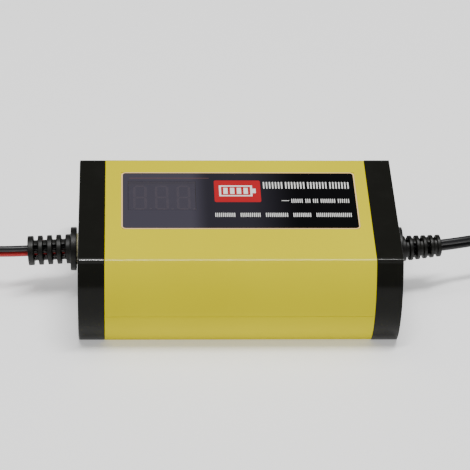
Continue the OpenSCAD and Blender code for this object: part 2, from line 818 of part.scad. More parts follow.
module plug_pins() {
    front = plug_back - plug_l;
    color(steel) for (s = [-1, 1]) {
        rod_x(front - plug_pin_l, plug_y + s * plug_pin_gap / 2, plug_z, plug_pin_d, plug_pin_l);
        rod_x(front - 1, plug_y + s * plug_pin_gap / 2, plug_z, pin_root_d, pin_root_l + 0.9);
    }
}

// Spring clips. In a clip's own frame the pin stands on Z, the jaws point along +X,
// and an arm lies on the +Y side. The fixed arm is the mirror image of the moving one.
clip_x = -133;
clip_y = 13;
open_gap = 0.3;           // half the gap between the closed jaws
ear_gap = 0.2;            // gap between nested ears
inner_w = clip_w - 2 * sheet_t - 2 * ear_gap;
back_of_arm = [[jaw_reach, 2.4], [jaw_reach - 6, 4.4], [10, 6.2], [-2, 6.4], [-handle_reach, 9.6]];
mouth_y = 1.8;

// The arm's side view: teeth at the tip, a hollow mouth behind them, the ear and the handle
module arm_outline() {
    teeth = 6;
    step = 1.6;
    start = jaw_reach - teeth * step;
    difference() {
        union() {
            polygon(concat(back_of_arm, [[-handle_reach, 5.8], [-5, 2.6], [3, 1.9], [start - 1, mouth_y],
                [start, open_gap]], [for (i = [0 : teeth - 1]) each
                [[start + (i + 0.5) * step, open_gap + 0.9], [start + (i + 1) * step, open_gap]]]));
            circle(r = ear_r);
        }
        circle(r = pin_r + 0.05);
    }
}

// The strip of sheet along the arm's outer edge, which joins its two sides
module arm_back() {
    difference() {
        polygon(concat(back_of_arm, [for (i = [4 : -1 : 0]) back_of_arm[i] - [0, sheet_t]]));
        circle(r = ear_r + 0.6);
    }
}

module clip_arm(w) {
    for (s = [-1, 1]) translate([0, 0, s * (w - sheet_t) / 2]) linear_extrude(sheet_t, center = true)
        arm_outline();
    linear_extrude(w, center = true) arm_back();
}

// The plastic grip over a steel handle, hollow and open towards the jaws
module clip_grip(w) {
    difference() {
        linear_extrude(w + 2 * grip_t, center = true) polygon([[-6.5, 6.9 + grip_t + 0.1],
            [-handle_reach - 2, 9.9 + grip_t], [-handle_reach - 2, 5.4 - grip_t],
            [-6.5, 2.6 - grip_t + 0.4]]);
        linear_extrude(w + 0.1, center = true) polygon([[-6.4, 7.25], [-handle_reach - 0.2, 9.75],
            [-handle_reach - 0.2, 5.65], [-6.4, 2.75]]);
        translate([-handle_reach - 3, 7.6, 0]) rotate([0, 90, 0]) cylinder(d = core_d + 0.2, h = 4);
    }
}

module clip_pin() {
    color(steel) {
        cylinder(r = pin_r, h = clip_w + 1, center = true);
        for (s = [-1, 1]) translate([0, 0, s * (clip_w / 2 + 0.3)]) cylinder(r = 2, h = 0.5, center = true);
    }
}

// The torsion spring: its coil round the pin, and one leg under each handle
module clip_spring() {
    wire = 0.8;
    coil_or = ear_r - 0.4;
    turns = 4;
    color(steel) {
        difference() {
            union() {
                for (i = [0 : turns - 1]) translate([0, 0, (i - (turns - 1) / 2) * wire])
                    rotate_extrude() translate([coil_or - wire / 2, 0]) circle(d = wire, $fn = 16);
                cylinder(r = coil_or - 0.3, h = (turns - 1) * wire, center = true);
            }
            cylinder(r = pin_r + 0.1, h = turns * wire + 2, center = true);
        }
        for (s = [-1, 1]) rotate([0, 0, s * 8])
            translate([-12, s * (coil_or - 0.4) - wire / 2, s * wire - wire / 2]) cube([12, wire, wire]);
    }
}

// One piece of a clip: the fixed arm lies on the inner side, towards the casing's middle plane
module clip_piece(side, piece, tint) {
    if (side > 0) translate([clip_x, clip_y, clip_z]) bare_piece(piece, tint);
    else translate([clip_x, -clip_y, clip_z]) mirror([0, 1, 0]) bare_piece(piece, tint);
}

module bare_piece(piece, tint) {
    if (piece == "fixed_jaw") color(steel) mirror([0, 1, 0]) clip_arm(clip_w);
    if (piece == "moving_jaw") color(steel) clip_arm(inner_w);
    if (piece == "fixed_grip") color(tint) mirror([0, 1, 0]) clip_grip(clip_w);
    if (piece == "moving_grip") color(tint) clip_grip(inner_w);
    if (piece == "pin") clip_pin();
    if (piece == "spring") clip_spring();
}

red = [0.8, 0.1, 0.1];

upper_shell();
lower_shell();
dc_end_cap();
ac_end_cap();
end_cap_screws();
label_overlay();
display_lens();
led_display();
display_board();
display_ribbon();
ribbon_socket();
main_board();
board_screws();
transformer_core();
transformer_bobbin();
transformer_winding();
input_capacitor();
output_capacitors();
primary_heat_sink();
mosfet();
secondary_heat_sink();
rectifier_diode();
bridge_rectifier();
fuse();
choke_core();
choke_windings();
x_capacitor();
controller_ic();
optocoupler();
thermistor();
mains_inner_wires();
output_inner_wires();
dc_strain_relief();
ac_strain_relief();
gland_collars();
dc_lead_run();
dc_lead_coil();
dc_lead_end();
dc_lead_tie();
dc_split_sleeve();
red_tail();
black_tail();
ac_lead_run();
ac_lead_coil();
ac_lead_tie();
ac_lead_tail();
plug_body();
plug_pins();
for (piece = ["fixed_jaw", "moving_jaw", "fixed_grip", "moving_grip", "pin", "spring"]) {
    clip_piece(1, piece, red);
    clip_piece(-1, piece, black);
}
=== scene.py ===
"""Car battery charger: looks, leads and fine parts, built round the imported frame. All sizes are in metres."""

import math

import bmesh
import bpy
from mathutils import Matrix, Vector


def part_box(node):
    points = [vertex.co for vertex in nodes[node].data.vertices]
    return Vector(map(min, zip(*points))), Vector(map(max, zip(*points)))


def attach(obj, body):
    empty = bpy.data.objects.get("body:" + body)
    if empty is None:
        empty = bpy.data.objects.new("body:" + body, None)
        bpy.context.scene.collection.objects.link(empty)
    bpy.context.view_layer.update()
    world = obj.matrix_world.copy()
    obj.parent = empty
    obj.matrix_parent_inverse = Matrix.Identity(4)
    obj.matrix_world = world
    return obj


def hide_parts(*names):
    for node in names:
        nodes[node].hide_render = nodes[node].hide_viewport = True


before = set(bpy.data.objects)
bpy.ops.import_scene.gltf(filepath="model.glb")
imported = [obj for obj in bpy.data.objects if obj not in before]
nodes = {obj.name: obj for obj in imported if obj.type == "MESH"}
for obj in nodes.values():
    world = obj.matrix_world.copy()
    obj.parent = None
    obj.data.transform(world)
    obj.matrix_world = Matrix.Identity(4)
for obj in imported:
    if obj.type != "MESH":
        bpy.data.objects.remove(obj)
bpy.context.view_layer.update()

MM = 0.001
BODY = "charger"
CASE_TOP = 35 * MM
MID_Z = CASE_TOP / 2
RIDGE_Y = 29 * MM          # the flat top's half depth
RIDGE_BAND = 1.1 * MM      # how far down and in the ridge's glossy strip reaches
SHELL_JOINT_Z = 15 * MM
CAP_JOINT_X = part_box("upper_shell")[1][0]
CASE_END_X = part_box("ac_end_cap")[1][0]


# ---------------------------------------------------------------- camera

CAMERA_ANGLE = 37          # degrees above the ridge
CAMERA_DISTANCE = 0.82
CAMERA_LENS = 186.9
CAMERA_FOOT_X = -39.7 * MM
CAMERA_LIFT = 8.24 * MM
CAMERA_ASIDE = 0.0459      # how far it turns to its right, as a slope


def make_camera():
    """A long lens on the front ridge from above, aimed a little to the right of its own foot."""
    elevation = math.radians(CAMERA_ANGLE)
    ahead = Vector((0, math.cos(elevation), -math.sin(elevation)))
    upward = Vector((0, math.sin(elevation), math.cos(elevation)))
    sideways = Vector((1, 0, 0))
    foot = Vector((CAMERA_FOOT_X, -RIDGE_Y, CASE_TOP))
    data = bpy.data.cameras.new("camera")
    data.lens = CAMERA_LENS
    data.sensor_width = 36
    data.clip_start = 0.01
    data.clip_end = 20
    camera = bpy.data.objects.new("camera", data)
    bpy.context.scene.collection.objects.link(camera)
    aim = (ahead + CAMERA_ASIDE * sideways).normalized()
    right = (sideways - sideways.dot(aim) * aim).normalized()
    over = right.cross(aim)
    turn = Matrix((right, over, -aim)).transposed().to_4x4()
    stand = foot - CAMERA_DISTANCE * ahead + CAMERA_LIFT * upward
    camera.matrix_world = Matrix.Translation(stand) @ turn
    bpy.context.scene.camera = camera


make_camera()


# ---------------------------------------------------------------- shader maths and finishes

class Value:
    """A number worked out by the shader: Python's operators on it add Math nodes."""

    def __init__(self, finish, socket):
        self.finish = finish
        self.socket = socket

    def maths(self, operation, *values):
        made = self.finish.node("ShaderNodeMath", {"operation": operation}, dict(enumerate(values)))
        return Value(self.finish, made.outputs[0])

    def __add__(self, other):
        return self.maths("ADD", self, other)

    def __sub__(self, other):
        return self.maths("SUBTRACT", self, other)

    def __rsub__(self, other):
        return self.maths("SUBTRACT", other, self)

    def __mul__(self, other):
        return self.maths("MULTIPLY", self, other)

    def __lt__(self, other):
        return self.maths("LESS_THAN", self, other)

    def __gt__(self, other):
        return self.maths("GREATER_THAN", self, other)

    __radd__ = __add__
    __rmul__ = __mul__

    def size(self):
        return self.maths("ABSOLUTE", self)

    def most(self, other):
        return self.maths("MAXIMUM", self, other)

    def wave(self):
        return self.maths("SINE", self)

    def power(self, other):
        return self.maths("POWER", self, other)

    def between(self, low, high):
        """Rises smoothly from 0 to 1 as the value goes from low to high."""
        made = self.finish.node("ShaderNodeMapRange", {"interpolation_type": "SMOOTHSTEP"},
                                {"Value": self, "From Min": low, "From Max": high})
        return Value(self.finish, made.outputs[0])


class Finish:
    """A material under construction: one Principled shader and what feeds it."""

    def __init__(self, name):
        self.material = bpy.data.materials.new(name)
        self.material.use_nodes = True
        self.tree = self.material.node_tree
        self.shader = self.tree.nodes["Principled BSDF"]
        self.object_coordinates = self.tree.nodes.new("ShaderNodeTexCoord").outputs["Object"]
        parts = self.node("ShaderNodeSeparateXYZ", {}, {0: self.object_coordinates})
        self.x, self.y, self.z = (Value(self, parts.outputs[k]) for k in range(3))

    def give(self, socket, value):
        if isinstance(value, Value):
            value = value.socket
        if isinstance(value, bpy.types.NodeSocket):
            self.tree.links.new(value, socket)
        else:
            if isinstance(value, tuple) and len(value) == 3 and socket.type == "RGBA":
                value = (*value, 1.0)
            socket.default_value = value

    def node(self, kind, settings, inputs):
        made = self.tree.nodes.new(kind)
        for key, value in settings.items():
            setattr(made, key, value)
        for key, value in inputs.items():
            self.give(made.inputs[key], value)
        return made

    def set(self, **inputs):
        for key, value in inputs.items():
            self.give(self.shader.inputs[key.replace("_", " ")], value)

    def stretched(self, stretch):
        return self.node("ShaderNodeMapping", {}, {"Vector": self.object_coordinates,
                                                   "Scale": stretch}).outputs[0]

    def noise(self, scale, detail=3.0, stretch=None, rough=0.5):
        where = self.stretched(stretch) if stretch else self.object_coordinates
        made = self.node("ShaderNodeTexNoise", {}, {"Vector": where, "Scale": scale,
                                                    "Detail": detail, "Roughness": rough})
        return Value(self, made.outputs[0])

    def mix(self, amount, first, second):
        made = self.node("ShaderNodeMix", {"data_type": "RGBA"}, {0: amount, 6: first, 7: second})
        return made.outputs[2]

    def bump(self, height, distance, strength=1.0):
        made = self.node("ShaderNodeBump", {}, {"Height": height, "Distance": distance,
                                                "Strength": strength})
        self.set(Normal=made.outputs[0])


def shade(colour, share):
    return tuple(channel * share for channel in colour)


def moulded(name, colour, roughness=0.35, grain=0.006, grain_scale=2600, scuffs=0.25, coat=0.0, drift=0.06):
    """Moulded plastic: a slight drift of tone, fine surface grain and faint handling scuffs."""
    f = Finish(name)
    tone = f.noise(45, 2).between(0.3, 0.7)
    scratches = f.noise(260, 4, stretch=(0.25, 1, 1), rough=0.7).between(0.62, 0.8)
    f.set(Base_Color=f.mix(tone, shade(colour, 1 - drift), shade(colour, 1 + drift / 2)),
          Roughness=roughness + scratches * scuffs * 0.35 + f.noise(900, 2) * 0.06,
          Coat_Weight=coat, Coat_Roughness=0.08, Specular_IOR_Level=0.3)
    f.bump(f.noise(grain_scale, 2) + scratches * 0.4, grain * MM, 0.35)
    return f.material


def rubbery(name, colour, roughness=0.5, coat=0.0, dusting=0.22):
    """Soft PVC or rubber: mottled sheen, fine orange-peel skin and a little pale dust."""
    f = Finish(name)
    dust = f.noise(700, 4, rough=0.75).between(0.56, 0.85)
    f.set(Base_Color=f.mix(dust * dusting, colour, tuple(c * 0.6 + 0.09 for c in colour)),
          Roughness=roughness + f.noise(320, 3) * 0.16 - 0.08, Coat_Weight=coat, Coat_Roughness=0.2,
          Specular_IOR_Level=0.3)
    f.bump(f.noise(1500, 3, rough=0.6), 0.035 * MM, 0.4)
    return f.material


def metallic(name, colour, roughness=0.28, lines=(1, 1, 1), tarnish=0.15, lines_scale=1600):
    """Sheet or turned metal: drawing lines along one direction and a thin uneven tarnish."""
    f = Finish(name)
    streaks = f.noise(lines_scale, 3, stretch=lines)
    spots = f.noise(180, 4).between(0.5, 0.75)
    f.set(Base_Color=f.mix(spots * tarnish, colour, shade(colour, 0.55)), Metallic=1.0,
          Roughness=roughness + streaks * 0.18 + spots * 0.1)
    f.bump(streaks, 0.012 * MM, 0.5)
    return f.material


def on_ridge(f):
    """1 on the strip along the casing's long top edges, where the moulding is polished, and 0 elsewhere."""
    return (f.z > CASE_TOP - RIDGE_BAND) * (f.y.size() > RIDGE_Y - 1.0 * MM)


def casing_yellow():
    """The casing's yellow ABS: even and satin, with a slight drift of tone, a fine spark texture and painted
    shade along its joints with the end caps.
    """
    f = Finish("casing_yellow_abs")
    drift = f.noise(22, 2).between(0.25, 0.75)
    specks = f.noise(2200, 2).between(0.74, 0.8)
    tone = f.mix(drift, (0.65, 0.56, 0.0), (0.68, 0.595, 0.0))
    speckled = f.mix(specks * 0.3, tone, (0.48, 0.35, 0.0))
    # painted shade: the yellow's last 0.08 mm before each cap joint is darkened to a near-black brown, as shade
    # in the joint
    joint_shade = f.x.size() > CAP_JOINT_X - 0.08 * MM
    rubs = f.noise(90, 3, stretch=(0.2, 1, 1)).between(0.6, 0.8)
    f.set(Base_Color=f.mix(joint_shade * 0.9, speckled, (0.02, 0.013, 0.0)),
          Roughness=0.42 + f.noise(700, 3) * 0.08 + rubs * 0.06,
          Specular_IOR_Level=0.05, Coat_Roughness=0.16, Coat_Weight=on_ridge(f) * 0.5)
    f.bump(f.noise(1900, 3), 0.01 * MM, 0.3)
    return f.material


def cap_black():
    """The end caps' high-gloss black: deep and wet-looking, with faint haze and hairline marks."""
    f = Finish("cap_gloss_black")
    haze = f.noise(120, 4, rough=0.6).between(0.45, 0.8)
    hairs = f.noise(420, 5, stretch=(1, 0.12, 0.12), rough=0.75).between(0.66, 0.74)
    f.set(Base_Color=f.mix(haze * 0.5, (0.0075, 0.0075, 0.006), (0.011, 0.011, 0.009)),
          Roughness=0.12 + haze * 0.05 + hairs * 0.12, Specular_IOR_Level=0.1,
          Coat_Weight=on_ridge(f), Coat_Roughness=0.06)
    f.bump(f.noise(60, 2) + hairs * 0.1, 0.006 * MM, 0.06)
    return f.material


def circuit_board():
    """Green solder mask over copper tracks."""
    f = Finish("circuit_board")
    lanes = ((f.x * 1250).wave() * (f.y * 1250 + f.noise(60, 1) * 9).wave()).between(0.15, 0.4)
    f.set(Base_Color=f.mix(lanes * 0.55, (0.008, 0.085, 0.028), (0.03, 0.19, 0.05)),
          Roughness=0.3 + f.noise(800, 2) * 0.15)
    f.bump(lanes, 0.035 * MM, 0.5)
    return f.material


def ribbon_cable():
    """Flat grey ribbon of parallel cores, with painted shade in the grooves between them, its first core marked
    red.
    """
    f = Finish("ribbon_cable")
    ridge = (f.x * (2 * math.pi / (1.27 * MM))).wave()
    first = f.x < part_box("display_ribbon")[0][0] + 1.1 * MM
    # painted shade: the grey darkens from pale to mid grey down into the grooves between the cores
    f.set(Base_Color=f.mix(first, f.mix(ridge.between(-1, 0.2), (0.2, 0.2, 0.21), (0.42, 0.42, 0.43)),
                           (0.5, 0.03, 0.03)), Roughness=0.5)
    f.bump(ridge, 0.2 * MM, 0.6)
    return f.material


def wound_tape():
    """Yellow polyester tape wound over the transformer's copper, with the lap's edges showing."""
    f = Finish("winding_tape")
    laps = ((f.x + f.noise(35, 2) * 2 * MM) * 1900).wave().between(0.6, 0.95)
    f.set(Base_Color=f.mix(laps, (0.72, 0.42, 0.03), (0.42, 0.2, 0.02)), Roughness=0.25 + laps * 0.2)
    f.bump(laps, 0.05 * MM, 0.6)
    return f.material


def printed_sleeve(name, colour, stripe, axis_x):
    """A capacitor's shrunk sleeve with its plain polarity stripe, and bare metal on top."""
    f = Finish(name)
    marked = (f.x < axis_x) * ((f.z * 900).wave() > -0.4)
    top = f.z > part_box("input_capacitor")[1][2] - 0.4 * MM
    f.set(Base_Color=f.mix(marked * stripe, colour, (0.5, 0.5, 0.52)), Metallic=top,
          Roughness=0.3 + f.noise(300, 2) * 0.1)
    f.bump(f.noise(500, 2), 0.03 * MM, 0.3)
    return f.material


LABEL_CORNER = 1.6 * MM
LABEL_LINE = 0.42 * MM


def label_black():
    """The label film: black under gloss, with a painted reflection that makes it paler to the left, and a thin
    pale line just inside its edge.
    """
    f = Finish("label_gloss_black")
    low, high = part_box("label_overlay")
    middle = [(a + b) / 2 for a, b in zip(low, high)]
    half = [(b - a) / 2 for a, b in zip(low, high)]
    corner = LABEL_CORNER
    across = ((f.x - middle[0]).size() - (half[0] - corner)).most(0.0)
    along = ((f.y - middle[1]).size() - (half[1] - corner)).most(0.0)
    line = (across * across + along * along).power(0.5) > corner - LABEL_LINE
    left = f.x * -1
    # painted reflection: the black is lifted to a pale grey-violet, fully left of x = -17 mm, a little under
    # half strength near the middle, and gone by x = +22 mm
    sheen = left.between(9.5 * MM, 17 * MM) * 0.6 + left.between(-22 * MM, -2 * MM) * 0.4
    tone = f.mix(sheen, (0.0015, 0.0015, 0.002), (0.049, 0.045, 0.061))
    f.set(Base_Color=f.mix(line * 0.92, tone, (0.95, 0.66, 0.30)),
          Roughness=0.13 + f.noise(200, 3).between(0.4, 0.8) * 0.06, Specular_IOR_Level=0.1)
    f.bump(f.noise(90, 3) + f.noise(900, 2) * 0.08, 0.03 * MM, 0.35)
    return f.material


def smoked_window():
    """Smoked acrylic over the display: dark, clear enough to show the figures faintly, its grey-violet colour
    partly a painted reflection that matches the paler left of the label film.
    """
    f = Finish("smoked_window")
    smear = f.noise(160, 4, rough=0.65).between(0.4, 0.8)
    # the smoked acrylic is dark; its base colour is lifted to a grey-violet as a painted reflection, like the
    # film beside it
    f.set(Base_Color=f.mix(smear * 0.4, (0.066, 0.060, 0.080), (0.072, 0.066, 0.086)),
          Roughness=0.1 + smear * 0.08, Alpha=0.66 + smear * 0.03, Specular_IOR_Level=0.1)
    f.bump(f.noise(80, 2), 0.02 * MM, 0.2)
    return f.material


PRINT_WHITE = moulded("print_white", (0.86, 0.86, 0.84), 0.2, scuffs=0.1)
PRINT_RED = moulded("print_red", (0.45, 0.012, 0.018), 0.16, scuffs=0.1, drift=0.1)
YELLOW = casing_yellow()
CAP = cap_black()
BOARD = circuit_board()
SCREW = metallic("screw_zinc", (0.62, 0.62, 0.6), 0.3, lines=(0.3, 1, 1))
NICKEL = metallic("nickelled_steel", (0.72, 0.70, 0.66), 0.2, lines=(0.08, 1, 1), tarnish=0.25)
PLUG_PIN = metallic("plug_pin_nickel", (0.78, 0.76, 0.7), 0.16, lines=(1, 0.1, 0.1))
ALUMINIUM = metallic("heat_sink_aluminium", (0.78, 0.79, 0.8), 0.34, lines=(0.06, 1, 1))
COPPER = metallic("enamelled_copper", (0.70, 0.27, 0.09), 0.24, tarnish=0.3)
FERRITE = moulded("ferrite", (0.028, 0.028, 0.031), 0.55, grain=0.03, grain_scale=1400, drift=0.25)
EPOXY = moulded("moulded_epoxy", (0.014, 0.014, 0.015), 0.45, grain=0.02)
BOBBIN = moulded("bobbin_black", (0.02, 0.02, 0.02), 0.5)
RELIEF = rubbery("relief_rubber", (0.0055, 0.0055, 0.0045), 0.42, dusting=0.12)
LEAD_BLACK = rubbery("lead_black_pvc", (0.011, 0.011, 0.012), 0.36, coat=0.15)
LEAD_RED = rubbery("lead_red_pvc", (0.46, 0.021, 0.022), 0.36, coat=0.15)
GRIP_RED = rubbery("grip_red_pvc", (0.50, 0.018, 0.016), 0.3, coat=0.3)
GRIP_BLACK = rubbery("grip_black_pvc", (0.012, 0.012, 0.013), 0.3, coat=0.3)
PLUG = moulded("plug_black", (0.013, 0.013, 0.014), 0.46, grain=0.05, grain_scale=1100)
COLLAR = moulded("collar_cream", (0.80, 0.74, 0.40), 0.42)
TIE = rubbery("tie_black", (0.012, 0.012, 0.012), 0.42)
NODE_FINISH = {
    "end_cap_screws": SCREW, "board_screws": SCREW, "display_lens": smoked_window(),
    "led_display": moulded("display_grey", (0.06, 0.055, 0.066), 0.5), "display_board": BOARD,
    "main_board": BOARD, "display_ribbon": ribbon_cable(),
    "ribbon_socket": moulded("socket_ivory", (0.7, 0.64, 0.48), 0.45), "transformer_core": FERRITE,
    "transformer_bobbin": BOBBIN, "transformer_winding": wound_tape(),
    "input_capacitor": printed_sleeve("input_can", (0.02, 0.02, 0.03), 0.8, 6 * MM),
    "output_capacitors": moulded("output_cans", (0.02, 0.05, 0.16), 0.3),
    "primary_heat_sink": ALUMINIUM, "secondary_heat_sink": ALUMINIUM, "mosfet": EPOXY,
    "rectifier_diode": EPOXY, "bridge_rectifier": EPOXY, "controller_ic": EPOXY,
    "fuse": moulded("fuse_tan", (0.42, 0.28, 0.15), 0.4), "choke_core": FERRITE,
    "x_capacitor": moulded("box_capacitor", (0.66, 0.44, 0.08), 0.35),
    "optocoupler": moulded("package_white", (0.72, 0.72, 0.66), 0.4),
    "thermistor": moulded("thermistor_green", (0.03, 0.12, 0.05), 0.4),
    "gland_collars": COLLAR, "plug_pins": PLUG_PIN, "mains_inner_wires": LEAD_BLACK,
    "output_inner_wires": LEAD_RED, "red_pin": SCREW, "black_pin": SCREW,
}
for name, material in NODE_FINISH.items():
    nodes[name].data.materials.clear()
    nodes[name].data.materials.append(material)


# ---------------------------------------------------------------- pieces

def place(name, mesh, material, body=BODY, replaced=()):
    """Links a finished mesh as a piece that rides on a body, with its finish and what it stands for."""
    piece = bpy.data.objects.new(name, mesh)
    bpy.context.scene.collection.objects.link(piece)
    for one in material if isinstance(material, (list, tuple)) else [material]:
        mesh.materials.append(one)
    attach(piece, body)
    if replaced:
        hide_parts(*replaced)
    return piece


def smooth(mesh, angle=32):
    for face in mesh.polygons:
        face.use_smooth = True
    mesh.set_sharp_from_angle(angle=math.radians(angle))


def built(mesh, modifiers):
    """The plain mesh that a mesh becomes with these modifiers, each given as (type, settings)."""
    holder = bpy.data.objects.new("holder", mesh)
    bpy.context.scene.collection.objects.link(holder)
    for kind, settings in modifiers:
        made = holder.modifiers.new(kind, kind)
        for key, value in settings.items():
            setattr(made, key, value)
    shaped = bpy.data.meshes.new_from_object(holder.evaluated_get(bpy.context.evaluated_depsgraph_get()))
    bpy.data.objects.remove(holder)
    return shaped


def merged_copy(node, flat_angle=0.6):
    """A copy of a CAD node's mesh with its loose triangles joined and its flat faces made whole."""
    mesh = bpy.data.meshes.new("copy")
    work = bmesh.new()
    work.from_mesh(nodes[node].data)
    bmesh.ops.remove_doubles(work, verts=work.verts, dist=0.004 * MM)
    bmesh.ops.dissolve_limit(work, angle_limit=math.radians(flat_angle), verts=work.verts,
                             edges=work.edges)
    work.to_mesh(mesh)
    work.free()
    mesh.materials.clear()
    return mesh


def softened(node, width, segments=3, rule=None, least_angle=24):
    """A CAD node's shape with its edges rounded: every one sharper than an angle, as far as a rule says."""
    mesh = merged_copy(node)
    work = bmesh.new()
    work.from_mesh(mesh)
    weight = work.edges.layers.float.new("bevel_weight_edge")
    for edge in work.edges:
        sharp = len(edge.link_faces) == 2 and edge.calc_face_angle(0) > math.radians(least_angle)
        if sharp and edge.calc_length() > 0.05 * MM:
            share = rule(edge.verts[0].co, edge.verts[1].co) if rule else 1.0
            edge[weight] = share
    work.to_mesh(mesh)
    work.free()
    shaped = built(mesh, [("BEVEL", {"width": width, "segments": segments, "limit_method": "WEIGHT",
                                     "use_clamp_overlap": True, "harden_normals": False,
                                     "miter_outer": "MITER_ARC"})])
    smooth(shaped)
    return built(shaped, [("WEIGHTED_NORMAL", {"mode": "FACE_AREA", "keep_sharp": True})])


def remoulded(node, voxel, rounds=6):
    """A CAD node's shape as a soft moulding: remeshed finely, then smoothed so that every edge is rounded."""
    shaped = built(merged_copy(node), [
        ("REMESH", {"mode": "VOXEL", "voxel_size": voxel, "adaptivity": 0.0}),
        ("SMOOTH", {"factor": 0.5, "iterations": rounds})])
    smooth(shaped, 60)
    return shaped


# ---------------------------------------------------------------- leads

DC_CORE = 2.2 * MM
DC_WIDTH = 4.4 * MM
AC_CORE = 2.35 * MM
AC_WIDTH = 4.7 * MM
COIL_FOOT = 1.0 * MM
DC_RUN = [(-50, 0, 17.5), (-58, 0, 17.5), (-66, 0, 17), (-73, 0, 16.6), (-80, 0, 16.3),
          (-86.5, 0.7, 15.9), (-93, 3.9, 14.5), (-98.5, 9.2, 12.4), (-103.5, 15.2, 10.3),
          (-109, 21, 8.9), (-115.6, 25.8, 8.2), (-123, 28.2, 7.8), (-130, 27.4, 7.6)]
DC_END = [(-130, 27.4, 3.2), (-138, 28.6, 3.2), (-146, 28.4, 3.4), (-152, 27, 3.9)]
RED_ROUTE = [(-157.5, 25.8, 5.3), (-164, 23.4, 6.8), (-169.5, 18.4, 9.2), (-170.5, 12, 12.2),
             (-166.5, 7, 15), (-160, 5.3, 16.3), (-154, 5.3, 16.5)]
BLACK_ROUTE = [(-157.5, 25.2, 3.1), (-165, 22.6, 4.4), (-171.5, 17, 6.8), (-174.5, 8.5, 9.8),
               (-172.5, 0.4, 12.9), (-167, -4.4, 15.4), (-160, -5.3, 16.4), (-154, -5.3, 16.5)]
AC_RUN = [(50, 0, 17.5), (55, 0, 17.5), (58.5, 0.1, 17.5), (65, 0.95, 17.5), (72.5, 2.05, 17.5),
          (80, 3.7, 17.5), (87, 6, 17.2), (93.5, 10, 16.2), (99.2, 15.6, 14.6),
          (105, 21.2, 12.4), (112, 26.4, 10.2), (120, 29.4, 8.6), (128, 29.7, 8.1)]
AC_TAIL = [(128, 29.7, 3.4), (136, 31, 3.4), (144, 31, 3.6), (151.5, 28.8, 4.6), (158, 24.2, 6.2),
           (163, 17.6, 8.4), (165.5, 9.6, 11), (165, 1.4, 13.6), (161.5, -6, 16),
           (155.5, -11.4, 17.5), (149, -13, 17.7)]


def metres(points):
    return [Vector(p) * MM for p in points]


def eased(points, before=None, after=None, steps=5):
    """A smooth line through the points, which heads in from the point before and out to the one after."""
    line = [before or 2 * points[0] - points[1], *points, after or 2 * points[-1] - points[-2]]
    smooth_line = []
    for a, b, c, d in zip(line, line[1:], line[2:], line[3:]):
        for step in range(steps):
            t = step / steps
            smooth_line.append(0.5 * (2 * b + (c - a) * t + (2 * a - 5 * b + 4 * c - d) * t * t
                                      + (3 * b - a - 3 * c + d) * t ** 3))
    return [*smooth_line, points[-1]]


def coil_turns(centre, radius, width, way, turns=4, steps=40):
    """The centreline of a neat coil, two turns wide and two high, which starts and ends outside it."""
    high, low = COIL_FOOT + 1.5 * width, COIL_FOOT + 0.5 * width
    out, far_out, near = radius + 0.5 * width, radius + 1.5 * width, radius - 0.5 * width
    lanes = [(far_out, high), (out, high), (near, high), (near, low), (out, low), (far_out, low)]
    change = 60
    line = []
    for step in range(turns * steps + 1):
        turned = 360 * step / steps
        lane = int((turned + 180) // 360)
        share = min(max(((turned + 180) % 360 - 180 + change / 2) / change, 0), 1)
        share = share * share * (3 - 2 * share)
        r, z = ((1 - share) * a + share * b for a, b in zip(lanes[lane], lanes[lane + 1]))
        angle = math.radians(90 + way * turned)
        line.append(Vector((centre + r * math.cos(angle), r * math.sin(angle), z)))
    return line


def twin_section(core):
    """The outline of two cores joined by a web, one above the other; its second half is the lower core."""
    r = core / 2
    apart = 0.96 * r
    neck = math.degrees(math.asin(apart / r))
    corners = 11
    lobe = [math.radians(-neck + (180 + 2 * neck) * k / corners) for k in range(corners)]
    upper = [(r * math.cos(a), apart + r * math.sin(a)) for a in lobe]
    return upper + [(-x, -y) for x, y in upper]


def round_section(core, corners=14):
    return [(core / 2 * math.cos(2 * math.pi * k / corners), core / 2 * math.sin(2 * math.pi * k / corners))
            for k in range(corners)]


def swept(name, line, section, second_half=0, twist=None):
    """A closed tube of that section along the line; the section's second half may take a second finish."""
    work = bmesh.new()
    rings = []
    for i, at in enumerate(line):
        ahead = (line[min(i + 1, len(line) - 1)] - line[max(i - 1, 0)]).normalized()
        across = Vector((0, 0, 1)).cross(ahead).normalized()
        over = ahead.cross(across)
        turn = twist(i / (len(line) - 1)) if twist else 0.0
        c, s = math.cos(turn), math.sin(turn)
        rings.append([work.verts.new(at + (x * c - y * s) * across + (x * s + y * c) * over)
                      for x, y in section])
    count = len(section)
    for near, far in zip(rings, rings[1:]):
        for k in range(count):
            face = work.faces.new((near[k], near[(k + 1) % count], far[(k + 1) % count], far[k]))
            face.material_index = second_half if k >= count // 2 else 0
    work.faces.new(rings[0][::-1])
    work.faces.new(rings[-1])
    bmesh.ops.recalc_face_normals(work, faces=work.faces)
    mesh = bpy.data.meshes.new(name)
    work.to_mesh(mesh)
    work.free()
    smooth(mesh, 50)
    return mesh


